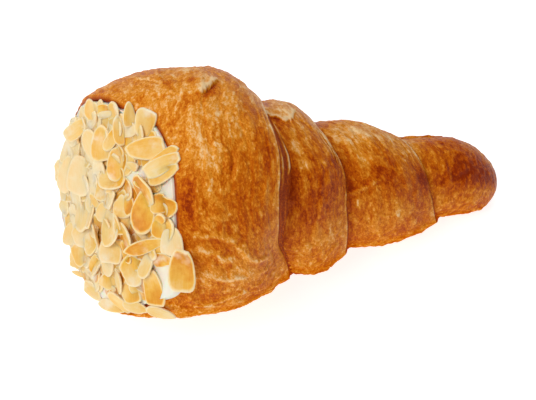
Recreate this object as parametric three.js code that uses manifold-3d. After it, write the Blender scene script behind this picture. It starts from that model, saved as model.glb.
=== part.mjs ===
// Cream horn: a strip of flaky pastry wound into a horn and filled with cream, almond flakes on its mouth.
// Millimetres, +Z up, the mouth towards -X, the closed tip towards +X, lying on its side on z = 0.
import * as THREE from 'three';
import { mergeVertices } from 'three/addons/utils/BufferGeometryUtils.js';
import Module from 'manifold-3d';

const wasm = await Module();
wasm.setup();

const TAU = 2 * Math.PI;
const GOLDEN_ANGLE = 137.508 / 360;
// Clear space between the pastry and the cream
const GAP = 0.35;

// Horn axis: s runs along it from the mouth to the tip, w counts turns from the top towards the near side
const LENGTH = 125.2;
const LEAN = THREE.MathUtils.degToRad(15.8);
const SAG = { depth: 0.9, at: 66, reach: 20, tipDrop: 3.2, tipFrom: 106 };

// Wound strip: place of its free edge, radius of the turn that comes out under it, lip height and depth
const STRIP = { first: -0.6, last: 2.9, perTurn: 40, rows: 10, faceRows: 8 };
const EDGE = { start: 43.5, pitch: 14.3, growth: 4.6, tilt: 0.35, tiltAt: 50 / 360 };
// Places where the edge strays towards the tip or the mouth: turn, reach in turns, distance
const STRAYS = [
  [0.085, 0.06, 2.9],
  [0.235, 0.045, -2.4],
  [0.4, 0.08, 1.6],
  [0.97, 0.05, -1.2],
  [1.11, 0.06, 1.9],
  [1.34, 0.09, -1.4],
  [2.08, 0.15, 1.9],
];
const BASE = { radius: 26.4, step: 6.6, phase: 0.12 };
const LIP = { height: 1.7, depth: 2.1, taper: 0.25 };
// Where the outer turn's edge has baked onto the turn below it
const MERGED = { at: 0.3, reach: 0.085, share: 0.88 };
const CUT_FACE = {
  height: 6.8, depth: 6.4, rise: [-0.06, 0.08], fall: [0.14, 0.27], drop: 0.42, ridge: 0.04, layers: 3,
};
const BARREL = { radius: 37.4, at: 15, sink: 1.6, rollOff: [3.2, 2.4], shoulder: 2.4 };
const TUCK = { depth: 4, over: [-0.6, -0.42] };
const TURN = { bulge: 0.6, rollOff: 3, tuck: 5 };
const NOSE = { radius: 13.2, start: 78, bend: 98, power: 2.9, round: 2.2, rings: 11 };

// Mouth: the rim leans towards the near side and a hood stands out at the top
const RIM = { mean: -4.9, swing: 5.6, face: 62 / 360, radius: 34.5, dip: 4.5, dipAt: -40 / 360 };
const HOOD = { reach: 5, from: [-0.25, -0.1], to: [-0.035, 0.02] };
// The rim also stands out a little on the near side
const POUT = { at: 0.155, reach: 0.065, by: 1.8 };
const CAVITY = { mouth: 28.4, wall: 1.9, flare: 8, end: 108, power: 0.82, front: -45 };
const SPILL = { reach: 3, thick: 1, stretch: 30, rise: [0.18, 0.23], fall: [0.27, 0.34] };

// Loose tail of the strip: its cut end runs along the top and lifts a little at its point
const TAIL = { from: -5, to: 20, rows: 12, columns: 6, span: 0.1, lift: 0.35, point: 1.7 };
// Loose flake on top of the second turn
const LEDGE = { from: 35, to: 47.5, rows: 6, columns: 4, span: 0.13, lift: 0.8, end: 1.005 };

// Filling and almond flakes
const DOME = { apex: -9.6, power: 2.1, rings: 7, columns: 36 };
const FLAKES = {
  count: 66, cover: 0.99, length: [8.5, 12], broad: [0.62, 0.84], thick: 0.9, sides: 7, bend: 0.01,
};
const SCATTER = { tilt: [2, 24], roll: [-20, 20], square: [0, 0.3], clear: 4.6, within: 0.97 };
// Places where the cream shows between the flakes: share of the rim radius, turn, reach
const BARE = [
  [0.6, 0.088, 4.5],
  [0.88, 0.123, 2.2],
  [0.82, 0.26, 4],
  [0.93, 0.283, 4],
  [1, 0.3, 4],
];
const LIFT = { least: 0.3, rise: 0.36 };

// Largest flakes: share of the rim radius, turn, spin, tilt and roll in degrees, length, width, squareness
const MAIN_FLAKES = [
  [0.99, 0.008, 22, -14, -17, 9, 6.2, 0.6],
  [0.86, 0.054, -37, -21, -8, 13.3, 6.6, 0.1],
  [0.97, 0.081, 177, 10, 13, 11.3, 4.2, 0.3],
  [0.95, 0.092, 166, 15, 12, 12.7, 4.9, 0.35],
  [0.94, 0.106, 164, 13, 9, 10.7, 4.1, 0.35],
  [0.58, 0.944, -141, 2, 34, 11.3, 7.3, 0.1],
  [0.49, 0.023, -134, -3, 35, 11.1, 5.9, 0.1],
  [0.35, 0.06, 122, 10, -21, 11.8, 6.5, 0.1],
  [0.71, 0.167, -150, 8, 21, 13.9, 7.3, 0.05],
  [0.86, 0.15, -139, 2, 15, 6.1, 5.3, 0.6],
  [0.87, 0.188, -148, 7, 15, 7.3, 6, 0.1],
  [0.995, 0.204, -148, 6, 22, 9.4, 7.4, 0.5],
  [0.75, 0.231, 140, 16, 22, 15, 4.3, 0.1],
  [0.46, 0.34, -150, 10, 27, 10.7, 7.6, 0.1],
  [0.72, 0.306, -158, 11, 16, 9.6, 8.7, 0.2],
  [0.66, 0.458, -149, 12, 37, 6.6, 4.5, 0.1],
  [0.94, 0.296, -144, 5, 12, 13.1, 6.7, 0.3],
  [1.025, 0.234, -153, 2, -6, 15.6, 7.6, 0.3],
  [0.8, 0.819, 167, 36, 22, 10.4, 4.9, 0.3],
  [0.45, 0.719, -139, 0, 31, 13.2, 9.2, 0.1],
  [0.75, 0.69, -149, 8, 38, 11.5, 6.5, 0.1],
  [0.43, 0.167, -139, 2, 23, 7, 6.5, 0.2],
  [0.45, 0.221, -169, 15, 19, 7.8, 5.8, 0.2],
  [0.86, 0.352, -162, 9, 12, 7.2, 7.9, 0.2],
  [0.91, 0.89, -137, 0, 42, 7, 4.2, 0.1],
  [0.8, 0.981, -136, 3, 37, 9.5, 4, 0.1],
  [0.99, 0.985, -146, 7, 34, 8, 3.6, 0.1],
  [0.92, 0.933, 132, 20, 0, 5.7, 4.1, 0.3],
  [1.07, 0.323, 25, -8, -16, 9.2, 4.6, 0.1],
  [0.99, 0.358, 112, 14, -6, 10.6, 3.8, 0.1],
  [0.99, 0.419, 112, 14, -7, 11.2, 3.9, 0.1],
  [0.99, 0.475, 79, 13, -20, 8.1, 4.3, 0.1],
  [0.99, 0.515, -90, -41, 35, 4.8, 1.6, 0.1],
  [0.9, 0.533, -141, 6, 39, 6.7, 5, 0.1],
  [0.82, 0.573, -148, 10, 38, 7.8, 5, 0.1],
  [0.54, 0.54, -161, 15, 29, 8.7, 7, 0.1],
  [0.14, 0.312, -148, 5, 37, 6.4, 4.6, 0.1],
  [0.77, 0.525, 35, -7, -32, 8.2, 6.2, 0.1],
  [0.76, 0.417, -164, 13, 20, 5.6, 6, 0.1],
];

// Depth of the flat spot that it lies on, finest detail kept, and distance below which corners are joined
const FLOOR_CUT = 1.3;
const FINEST = 0.08;
const WELD = 0.004;

const clamp01 = (x) => Math.min(1, Math.max(0, x));
const smooth = (x) => clamp01(x) ** 2 * (3 - 2 * clamp01(x));
const ramp = (x, [a, b]) => smooth((x - a) / (b - a));
const mix = (a, b, t) => a + (b - a) * t;
const bell = (x, at, reach) => Math.exp(-(((x - at) / reach) ** 2));

// Repeatable scatter value between 0 and 1
function hash(i, k) {
  const x = Math.sin(i * 12.9898 + k * 78.233) * 43758.5453;
  return x - Math.floor(x);
}

const ALONG = new THREE.Vector3(Math.cos(LEAN), 0, -Math.sin(LEAN));
const UPWARD = new THREE.Vector3(Math.sin(LEAN), 0, Math.cos(LEAN));
const NEARWARD = new THREE.Vector3(0, -1, 0);

function sag(s) {
  return -SAG.depth * bell(s, SAG.at, SAG.reach) - SAG.tipDrop * ramp(s, [SAG.tipFrom, LENGTH]);
}

// Point at s along the axis, r away from it, w turns round it
function place(s, r, w) {
  const up = r * Math.cos(w * TAU) + sag(s);
  const near = r * Math.sin(w * TAU);
  return ALONG.clone().multiplyScalar(s).addScaledVector(UPWARD, up).addScaledVector(NEARWARD, near);
}

function noseRadius(s) {
  const t = clamp01((s - NOSE.bend) / (LENGTH - NOSE.bend));
  return NOSE.radius * (1 - t ** NOSE.power) ** (1 / NOSE.round);
}

// Radius of the smaller turn where it comes out from under the free edge
function baseRadius(w) {
  const turns = Math.floor(w + BASE.phase);
  const part = w + BASE.phase - turns;
  const r = BASE.radius - BASE.step * (turns + smooth((part - 0.5) / 0.5));
  return Math.max(r, 0.5);
}

function edgeAt(w) {
  const helix = EDGE.start + EDGE.pitch * w + EDGE.growth * w * w;
  const stray = STRAYS.reduce((sum, [turn, reach, far]) => sum + far * bell(w, turn, reach), 0);
  return helix + stray - EDGE.tilt * baseRadius(w) * Math.cos((w - EDGE.tiltAt) * TAU);
}

function creaseRadius(w) {
  return w > 1.5 ? Math.max(baseRadius(w), noseRadius(edgeAt(w))) : baseRadius(w);
}

function rimAt(w) {
  const plane = RIM.mean + RIM.swing * Math.cos((w - RIM.face) * TAU);
  const wrapped = w - Math.floor(w + 0.5);
  const hood = HOOD.reach * ramp(wrapped, HOOD.from) * (1 - ramp(wrapped, HOOD.to));
  return plane - hood - POUT.by * bell(wrapped, POUT.at, POUT.reach);
}

// The rim bends inwards at the top of the far side
function rimRadius(w) {
  return RIM.radius - RIM.dip * ((1 + Math.cos((w - RIM.dipAt) * TAU)) / 2) ** 2;
}

// Height and depth of the cut face at the free edge, large where the outer turn ends on the near side
function cutFace(w) {
  const large = ramp(w, CUT_FACE.rise) * (1 - ramp(w, CUT_FACE.fall));
  const merged = MERGED.share * bell(w, MERGED.at, MERGED.reach);
  const fade = (1 - ramp(w, [2.4, STRIP.last])) * (1 - merged);
  return {
    height: (LIP.height - LIP.taper * w) * fade + CUT_FACE.height * large,
    depth: LIP.depth - LIP.taper * w + CUT_FACE.depth * large,
    large,
  };
}

// Outer turn from the rim over the barrel to the shoulder, its start tucked in under its own end
function outerProfile(w, t) {
  const face = cutFace(w);
  const end = edgeAt(w) - face.depth;
  const start = rimAt(w);
  const s = mix(start, end, t);
  const tuck = TUCK.depth * (1 - ramp(w, TUCK.over));
  const top = BARREL.radius - BARREL.sink * ramp(w, [0.2, 0.5]) - tuck;
  const shoulder = creaseRadius(w) + face.height - tuck;
  if (s < BARREL.at) {
    const drop = ((BARREL.at - s) / (BARREL.at - start)) ** BARREL.shoulder;
    return [s, top - (top - rimRadius(w)) * drop];
  }
  const rollOff = mix(...BARREL.rollOff, ramp(w, [0.16, 0.3]));
  return [s, top - (top - shoulder) * ((s - BARREL.at) / (end - BARREL.at)) ** rollOff];
}

// Smaller turn from under the larger one to its own shoulder
function innerProfile(w, t) {
  const face = cutFace(w);
  const start = edgeAt(w - 1);
  const end = edgeAt(w) - face.depth;
  const r0 = creaseRadius(w - 1);
  const r1 = creaseRadius(w) + face.height;
  if (t === 0) {
    return [start - TURN.tuck, r0 - 0.8];
  }
  const u = (t * STRIP.rows - 1) / (STRIP.rows - 1);
  return [mix(start, end, u), r0 - (r0 - r1) * u ** TURN.rollOff + TURN.bulge * 4 * u * (1 - u)];
}

function stripSurface(w, t) {
  const inside = ramp(w, [0.42, 0.58]);
  const a = outerProfile(w, t);
  const b = inside > 0 ? innerProfile(w, t) : a;
  return [mix(a[0], b[0], inside), mix(a[1], b[1], inside)];
}

function cavityRadius(s) {
  return CAVITY.mouth * Math.max(0, 1 - Math.max(0, s) / CAVITY.end) ** CAVITY.power;
}

// Cross-section of the strip at one angle: outside, layered cut face, inside
function stripSection(w, grow) {
  const loop = [];
  for (let i = 0; i <= STRIP.rows; i += 1) {
    const [s, r] = stripSurface(w, i / STRIP.rows);
    loop.push([i === 0 ? s - grow : s, r + grow]);
  }
  const face = cutFace(w);
  const [s1, r1] = stripSurface(w, 1);
  const bottom = Math.min(creaseRadius(w) - 0.8, r1 - 0.8);
  for (let i = 1; i <= STRIP.faceRows; i += 1) {
    const f = i / STRIP.faceRows;
    const plunge = CUT_FACE.drop * Math.min(1, f / 0.12) + (1 - CUT_FACE.drop) * f;
    const ridges = CUT_FACE.ridge * face.large * Math.sin(TAU * CUT_FACE.layers * f);
    loop.push([mix(s1, edgeAt(w) + 0.3, f) + grow, mix(r1, bottom, plunge + ridges) + grow]);
  }
  const under = loop.map(([s, r]) => [s, Math.max(0.6, Math.min(cavityRadius(s), r) - 2)]);
  return loop.concat(under.reverse());
}

// Closed solid from points and triangles, turned to face outwards
function solid(points, triangles) {
  const vertProperties = new Float32Array(points.flatMap((p) => [p.x, p.y, p.z]));
  const make = (rows) => {
    const triVerts = new Uint32Array(rows.flat());
    return new wasm.Manifold(new wasm.Mesh({ numProp: 3, vertProperties, triVerts }));
  };
  const body = make(triangles);
  return body.volume() > 0 ? body : make(triangles.map(([a, b, c]) => [a, c, b]));
}

// End face of a loft: a ladder between the outside and the inside of its outline
function capTriangles(size) {
  const triangles = [];
  for (let i = 0; i + 1 < size / 2; i += 1) {
    triangles.push([i, i + 1, size - 2 - i], [i, size - 2 - i, size - 1 - i]);
  }
  return triangles;
}

// Solid through a row of cross-sections, each at its own angle
function loft(sections) {
  const size = sections[0].loop.length;
  const points = sections.flatMap(({ w, loop }) => loop.map(([s, r]) => place(s, r, w)));
  const triangles = [];
  for (let j = 0; j + 1 < sections.length; j += 1) {
    for (let i = 0; i < size; i += 1) {
      const a = j * size + i;
      const b = j * size + ((i + 1) % size);
      triangles.push([a, b, b + size], [a, b + size, a + size]);
    }
  }
  const end = (sections.length - 1) * size;
  capTriangles(size).forEach(([a, b, c]) => {
    triangles.push([a, c, b], [a + end, b + end, c + end]);
  });
  return solid(points, triangles);
}

// Solid round the axis from a profile that starts and ends on it and may change with the angle
function spun(profileAt, columns) {
  const rings = [];
  for (let j = 0; j < columns; j += 1) {
    rings.push(profileAt(j / columns).map(([s, r]) => place(s, r, j / columns)));
  }
  const inner = rings[0].length - 2;
  const points = [rings[0][0], rings[0][inner + 1]];
  rings.forEach((ring) => points.push(...ring.slice(1, -1)));
  const at = (j, i) => 2 + (j % columns) * inner + i;
  const triangles = [];
  for (let j = 0; j < columns; j += 1) {
    triangles.push([0, at(j, 0), at(j + 1, 0)], [1, at(j + 1, inner - 1), at(j, inner - 1)]);
    for (let i = 0; i + 1 < inner; i += 1) {
      triangles.push([at(j, i), at(j, i + 1), at(j + 1, i + 1)]);
      triangles.push([at(j, i), at(j + 1, i + 1), at(j + 1, i)]);
    }
  }
  return solid(points, triangles);
}

function windings(grow) {
  const step = 1 / STRIP.perTurn;
  const total = Math.round((STRIP.last - STRIP.first) / step);
  const bodies = [];
  for (let from = 0; from < total; from += STRIP.perTurn / 2) {
    const to = Math.min(total, from + STRIP.perTurn / 2);
    const sections = [];
    for (let j = from; j <= to; j += 1) {
      const w = STRIP.first + j * step;
      sections.push({ w, loop: stripSection(w, grow) });
    }
    bodies.push(loft(sections));
  }
  return bodies;
}

function nose(grow) {
  const profile = [[NOSE.start, 0]];
  for (let i = 0; i <= NOSE.rings; i += 1) {
    const s = mix(NOSE.start, LENGTH - 0.15, Math.sqrt(i / NOSE.rings));
    profile.push([s, noseRadius(s) + grow]);
  }
  profile.push([LENGTH + grow, 0]);
  return spun(() => profile, STRIP.perTurn);
}

// Radius of the outer turn at a place along the axis
function outerRadiusAt(w, s) {
  const face = cutFace(w);
  const end = edgeAt(w) - face.depth;
  return outerProfile(w, clamp01((s - rimAt(w)) / (end - rimAt(w))))[1];
}

// Radius of the second turn at a place along the axis
function secondRadiusAt(w, s) {
  const start = edgeAt(w - 1);
  const u = clamp01((s - start) / (edgeAt(w) - cutFace(w).depth - start));
  return innerProfile(w, (1 + u * (STRIP.rows - 1)) / STRIP.rows)[1];
}

// Loose flap on a turn: thin at its root, lifted more and more towards its free end
function flap({ from, to, rows, columns, span }, endAt, liftAt, radiusAt, grow) {
  const points = [];
  for (let side = 0; side < 2; side += 1) {
    for (let i = 0; i <= rows; i += 1) {
      const s = mix(from, to, i / rows);
      for (let j = 0; j <= columns; j += 1) {
        const t = j / columns;
        const w = endAt(s) - span * (1 - t);
        const lift = liftAt(s) * t ** 1.5 + grow;
        const end = Math.sin(Math.PI * mix(0.12, 0.92, i / rows)) ** 0.5;
        points.push(place(s, radiusAt(w, s) + (side ? lift * end : -1.2), w));
      }
    }
  }
  const size = (rows + 1) * (columns + 1);
  const at = (side, i, j) => side * size + i * (columns + 1) + j;
  const triangles = [];
  const quad = (a, b, c, d) => triangles.push([a, b, c], [a, c, d]);
  for (let i = 0; i < rows; i += 1) {
    for (let j = 0; j < columns; j += 1) {
      quad(at(1, i, j), at(1, i, j + 1), at(1, i + 1, j + 1), at(1, i + 1, j));
      quad(at(0, i, j), at(0, i + 1, j), at(0, i + 1, j + 1), at(0, i, j + 1));
    }
    quad(at(0, i, 0), at(1, i, 0), at(1, i + 1, 0), at(0, i + 1, 0));
    quad(at(0, i, columns), at(0, i + 1, columns), at(1, i + 1, columns), at(1, i, columns));
  }
  for (let j = 0; j < columns; j += 1) {
    quad(at(0, 0, j), at(0, 0, j + 1), at(1, 0, j + 1), at(1, 0, j));
    quad(at(0, rows, j), at(1, rows, j), at(1, rows, j + 1), at(0, rows, j + 1));
  }
  return solid(points, triangles);
}

// Cut end of the strip: it runs along the top, slants to the far side at both ends and lifts at one
function tail(grow) {
  const end = (s) => (0.7 - 1.2 * Math.max(0, s - 12) - 0.75 * Math.max(0, 9 - s)) / 360;
  const lift = (s) => TAIL.lift + TAIL.point * ramp(s, [8, 15]);
  return flap(TAIL, end, lift, outerRadiusAt, grow);
}

function ledge(grow) {
  return flap(LEDGE, () => LEDGE.end, () => LEDGE.lift, secondRadiusAt, grow);
}

// Hollow of the horn, flared to a thin rim; shrink makes it narrower all round
function hollow(shrink) {
  return spun((w) => {
    const rim = rimAt(w);
    const flare = rimRadius(w) - CAVITY.wall;
    const profile = [[CAVITY.end - shrink * 3, 0]];
    for (let i = 1; i <= 8; i += 1) {
      const s = mix(CAVITY.end - 2, rim + CAVITY.flare, i / 8);
      profile.push([s, cavityRadius(s) - shrink]);
    }
    profile.push([rim, flare - shrink], [CAVITY.front, flare - shrink], [CAVITY.front, 0]);
    return profile;
  }, 36);
}

function box(x0, x1, y0, y1, z0, z1) {
  const shape = new THREE.BoxGeometry(x1 - x0, y1 - y0, z1 - z0);
  shape.translate((x0 + x1) / 2, (y0 + y1) / 2, (z0 + z1) / 2);
  shape.deleteAttribute('normal');
  shape.deleteAttribute('uv');
  return welded(shape);
}

function largest(body) {
  return body.decompose().reduce((best, piece) => (piece.volume() > best.volume() ? piece : best));
}

function pastryBody(grow) {
  const parts = [...windings(grow), nose(grow), tail(grow), ledge(grow)];
  return largest(parts.reduce((sum, part) => sum.add(part)).subtract(hollow(grow)));
}

// Point of the cream's domed front at a share of the rim radius and an angle, past 1 outside the rim
function domePoint(share, w) {
  if (share > 1) {
    const over = rimAt(w) + (share - 1) * SPILL.stretch;
    return [over, outerRadiusAt(w, over) + SPILL.thick];
  }
  const s = DOME.apex + (rimAt(w) - DOME.apex) * share ** DOME.power;
  return [s, share * (rimRadius(w) - CAVITY.wall - GAP)];
}

function filling() {
  return spun((w) => {
    const rim = rimAt(w);
    const flare = rimRadius(w) - CAVITY.wall;
    const profile = [[CAVITY.end - GAP * 4, 0]];
    for (let i = 1; i <= 8; i += 1) {
      const s = mix(CAVITY.end - 4, rim + CAVITY.flare, i / 8);
      profile.push([s, cavityRadius(s) - GAP * 1.3]);
    }
    profile.push([rim + 0.3, flare - GAP * 1.3]);
    const spill = spillShare(w);
    const edge = rim - 0.4 + spill * SPILL.reach;
    const outside = outerRadiusAt(w, edge);
    profile.push([rim - 0.1, mix(flare - GAP * 1.3, rimRadius(w) + 0.6, spill)]);
    profile.push([edge, mix(flare - GAP * 1.3, outside + 0.6, spill)]);
    profile.push([edge - 0.1, mix(flare - GAP * 1.3, outside + SPILL.thick, spill)]);
    profile.push([rim - 0.6, mix(flare - GAP * 1.3, rimRadius(w) + SPILL.thick, spill)]);
    for (let i = DOME.rings - 1; i >= 1; i -= 1) {
      profile.push(domePoint(i / DOME.rings, w));
    }
    profile.push([DOME.apex, 0]);
    return profile;
  }, DOME.columns);
}

// Outward direction of the domed front
function domeNormal(share, w) {
  const at = (a, b) => place(...domePoint(a, b), b);
  const outward = at(share + 0.02, w).sub(at(share - 0.02, w));
  const round = at(share, w + 0.01).sub(at(share, w - 0.01));
  const normal = outward.cross(round).normalize();
  return normal.dot(ALONG) > 0 ? normal.negate() : normal;
}

// How far the cream runs over the rim at an angle, from 0 to 1
function spillShare(w) {
  const wrapped = w - Math.floor(w);
  return ramp(wrapped, SPILL.rise) * (1 - ramp(wrapped, SPILL.fall));
}

// Cosine or sine of an outline, pushed outwards to make an oval squarer
function squared(value, square) {
  return Math.sign(value) * Math.abs(value) ** (1 - 0.55 * square);
}

// One almond flake: a thin bent oval, pointed at one end
function flake({ centre, normal, spin, tilt, roll, length, width, square }) {
  const { sides } = FLAKES;
  const turned = (v, axis, degrees) => v.clone().applyAxisAngle(axis, THREE.MathUtils.degToRad(degrees));
  const level = turned(new THREE.Vector3().crossVectors(NEARWARD, normal).normalize(), normal, spin);
  const hinge = new THREE.Vector3().crossVectors(normal, level);
  const axisX = turned(level, hinge, tilt);
  const axisZ = turned(turned(normal, hinge, tilt), axisX, roll);
  const axisY = new THREE.Vector3().crossVectors(axisZ, axisX);
  const point = (x, y, z) =>
    centre.clone().addScaledVector(axisX, x).addScaledVector(axisY, y).addScaledVector(axisZ, z);
  const points = [point(0, 0, FLAKES.thick / 2), point(0, 0, -FLAKES.thick / 2)];
  for (let i = 0; i < sides; i += 1) {
    const angle = (i / sides) * TAU;
    const x = (length / 2) * squared(Math.cos(angle), square);
    const y = (width / 2) * squared(Math.sin(angle), square) * (1 - 0.3 * Math.cos(angle));
    const z = FLAKES.bend * (x * x + y * y);
    points.push(point(x, y, z + FLAKES.thick / 2), point(x, y, z - FLAKES.thick / 2));
  }
  const triangles = [];
  for (let i = 0; i < sides; i += 1) {
    const a = 2 + i * 2;
    const b = 2 + ((i + 1) % sides) * 2;
    triangles.push([0, a, b], [1, b + 1, a + 1], [a, a + 1, b + 1], [a, b + 1, b]);
  }
  return solid(points, triangles);
}

// Height of a flake's middle over the cream: its lower edge is sunk in
function flakeLift({ length, width, tilt, roll }) {
  const sine = (degrees) => Math.sin(THREE.MathUtils.degToRad(degrees));
  return LIFT.least + LIFT.rise * Math.hypot(length * sine(tilt), width * sine(roll));
}

// Flakes on the far side lie flatter
function flatter(w) {
  return 1 - 0.6 * ramp(-Math.sin(w * TAU), [0, 0.8]);
}

// Sizes and lie of the main flakes, then of those spread evenly between them by the golden angle
function flakePlan() {
  const range = ([a, b], i, k) => mix(a, b, hash(i, k));
  const where = (share, w) => place(...domePoint(share, w), w);
  const plan = MAIN_FLAKES.map(([share, w, spin, tilt, roll, length, width, square]) => (
    { share, w, spin, tilt, roll, length, width, square }));
  const taken = plan.map(({ share, w }) => [where(share, w), SCATTER.clear]);
  taken.push(...BARE.map(([share, w, reach]) => [where(share, w), reach]));
  for (let i = 0; i < FLAKES.count; i += 1) {
    const share = FLAKES.cover * Math.sqrt((i + 0.5) / FLAKES.count);
    const w = i * GOLDEN_ANGLE;
    const here = where(share, w);
    const free = taken.every(([other, reach]) => other.distanceTo(here) > reach);
    if (share < SCATTER.within && free) {
      const length = range(FLAKES.length, i, 1);
      plan.push({
        share,
        w,
        length,
        tilt: range(SCATTER.tilt, i, 2) * flatter(w),
        spin: hash(i, 3) * 360,
        width: length * range(FLAKES.broad, i, 4),
        roll: range(SCATTER.roll, i, 5) * flatter(w),
        square: range(SCATTER.square, i, 7),
      });
    }
  }
  return plan;
}

function flakes() {
  return flakePlan().map(({ share, w, ...lie }) => {
    const normal = domeNormal(share, w);
    const centre = place(...domePoint(share, w), w).addScaledVector(normal, flakeLift(lie));
    return flake({ centre, normal, ...lie });
  });
}

function creamBody() {
  const body = flakes().reduce((sum, part) => sum.add(part), filling());
  return largest(body.subtract(pastryBody(GAP)));
}

function geometryOf(body) {
  const data = body.getMesh();
  const geometry = new THREE.BufferGeometry();
  geometry.setAttribute('position', new THREE.BufferAttribute(new Float32Array(data.vertProperties), 3));
  geometry.setIndex(new THREE.BufferAttribute(new Uint32Array(data.triVerts), 1));
  return geometry;
}

// Solid of the geometry once corners closer than the weld distance are joined and slivers are gone
function welded(geometry) {
  const merged = mergeVertices(geometry, WELD);
  const p = merged.attributes.position;
  const points = [];
  for (let i = 0; i < p.count; i += 1) {
    points.push(new THREE.Vector3().fromBufferAttribute(p, i));
  }
  const triangles = [];
  for (let i = 0; i < merged.index.count; i += 3) {
    const [a, b, c] = [0, 1, 2].map((k) => merged.index.getX(i + k));
    if (a !== b && b !== c && c !== a) {
      triangles.push([a, b, c]);
    }
  }
  return solid(points, triangles);
}

function meshOf(body, name, look) {
  const geometry = geometryOf(largest(welded(geometryOf(body.simplify(FINEST)))));
  geometry.computeVertexNormals();
  const mesh = new THREE.Mesh(geometry, new THREE.MeshStandardMaterial(look));
  mesh.name = name;
  return mesh;
}

const rawPastry = pastryBody(0);
const rawCream = creamBody();
const bounds = [rawPastry.boundingBox(), rawCream.boundingBox()];
const middle = [0, 1].map((k) => {
  const low = Math.min(...bounds.map((b) => b.min[k]));
  const high = Math.max(...bounds.map((b) => b.max[k]));
  return (low + high) / 2;
});
const floor = bounds[0].min[2] + FLOOR_CUT;
const underFloor = box(-400, 400, -400, 400, floor - 50, floor);
const shift = [-middle[0], -middle[1], -floor];

const horn = new THREE.Group();
horn.name = 'cream_horn';
horn.userData.mouthCentre = shift;
horn.add(meshOf(rawPastry.subtract(underFloor).translate(shift), 'pastry', {
  color: 0xb9722e, roughness: 0.45, metalness: 0,
}));
horn.add(meshOf(rawCream.translate(shift), 'cream', {
  color: 0xf3e3bd, roughness: 0.6, metalness: 0,
}));

export default horn;
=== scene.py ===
# Cream horn: wound flaky pastry, cream and toasted almond flakes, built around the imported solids
import math
from types import SimpleNamespace as Named

import bpy
import numpy as np
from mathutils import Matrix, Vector


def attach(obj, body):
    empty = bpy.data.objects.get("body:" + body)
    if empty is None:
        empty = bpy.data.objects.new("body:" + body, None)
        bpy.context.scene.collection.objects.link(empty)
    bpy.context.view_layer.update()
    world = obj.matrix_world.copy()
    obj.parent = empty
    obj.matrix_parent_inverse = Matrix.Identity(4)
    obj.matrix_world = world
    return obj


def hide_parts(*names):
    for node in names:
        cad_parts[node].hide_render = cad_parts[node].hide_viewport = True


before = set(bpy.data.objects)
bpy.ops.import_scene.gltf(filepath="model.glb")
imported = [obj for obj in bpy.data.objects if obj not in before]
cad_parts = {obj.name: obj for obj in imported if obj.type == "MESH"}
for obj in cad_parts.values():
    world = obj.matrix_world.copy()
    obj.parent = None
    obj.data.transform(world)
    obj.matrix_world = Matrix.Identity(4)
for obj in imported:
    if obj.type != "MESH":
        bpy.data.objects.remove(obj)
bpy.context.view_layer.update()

TAU = 2 * math.pi
MM = 0.001

# Horn axis in mm: s runs along it from the mouth to the tip, w counts turns from the top to the near side
MOUTH_CENTRE = np.array((-50.02, 1.12, 42.93))
LENGTH = 125.2
LEAN = math.radians(15.8)
ALONG = np.array((math.cos(LEAN), 0, -math.sin(LEAN)))
UPWARD = np.array((math.sin(LEAN), 0, math.cos(LEAN)))
NEARWARD = np.array((0, -1, 0))
SAG = Named(depth=0.9, at=66, reach=20, tip_drop=3.2, tip_from=106)

# Wound strip, the same sizes as its solid
STRIP = Named(first=-0.6, split=0.5, last=2.9, tucked=0.1, crossing=(0.42, 0.58))
EDGE = Named(start=43.5, pitch=14.3, growth=4.6, tilt=0.35, tilt_at=50 / 360)
# Places where the edge strays towards the tip or the mouth: turn, reach in turns, distance
STRAYS = (
    (0.085, 0.06, 2.9),
    (0.235, 0.045, -2.4),
    (0.4, 0.08, 1.6),
    (0.97, 0.05, -1.2),
    (1.11, 0.06, 1.9),
    (1.34, 0.09, -1.4),
    (2.08, 0.15, 1.9),
)
BASE = Named(radius=26.4, step=6.6, phase=0.12)
LIP = Named(height=1.7, depth=2.1, taper=0.25, fade_from=2.4)
MERGED = Named(at=0.3, reach=0.085, share=0.88)
CUT_FACE = Named(height=6.8, depth=6.4, rise=(-0.06, 0.08), fall=(0.14, 0.27), drop=0.42, drop_over=0.12,
                 sunk=0.8, under=0.3)
BARREL = Named(radius=37.4, at=15, sink=1.6, sink_over=(0.2, 0.5), roll_off=(3.2, 2.4), roll_over=(0.16, 0.3),
               shoulder=2.4)
TUCK = Named(depth=4, over=(-0.6, -0.42))
TURN = Named(bulge=0.6, roll_off=3, tuck=5, dip=0.8)
NOSE = Named(radius=13.2, start=78, bend=98, power=2.9, round=2.2, from_turn=1.5)
RIM = Named(mean=-4.9, swing=5.6, face=62 / 360, radius=34.5, dip=4.5, dip_at=-40 / 360)
HOOD = Named(reach=5, rise=(-0.25, -0.1), fall=(-0.035, 0.02))
POUT = Named(at=0.155, reach=0.065, by=1.8)
CAVITY = Named(mouth=28.4, wall=1.9, flare=8, end=108, power=0.82, least=0.6, below=1.5)
SPILL = Named(reach=3, thick=1.0, stretch=30, rise=(0.18, 0.23), fall=(0.27, 0.34))
# Loose tail of the strip on the outer turn, its slanting end in degrees, and loose flake on the second turn
TAIL = Named(start=-5, end=20, span=0.1, lift=0.35, point=1.7, narrow=(8, 15), pale=0.3, crack=0.42,
             lit=0.3, lit_back=0.004, lit_reach=0.003)
TAIL_END = Named(angle=0.7, tip=1.2, tip_from=12, mouth=0.75, mouth_from=9)
LEDGE = Named(start=35, end=47.5, span=0.13, lift=0.8, edge=1.005, bow=0.03, pale=0.36, crack=0.2,
              lit=0.4, lit_back=0.005, lit_reach=0.005)
# Room between the crust and the cream, at its front and farther in
GAP = 0.35
SLACK = GAP * 1.3

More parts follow.
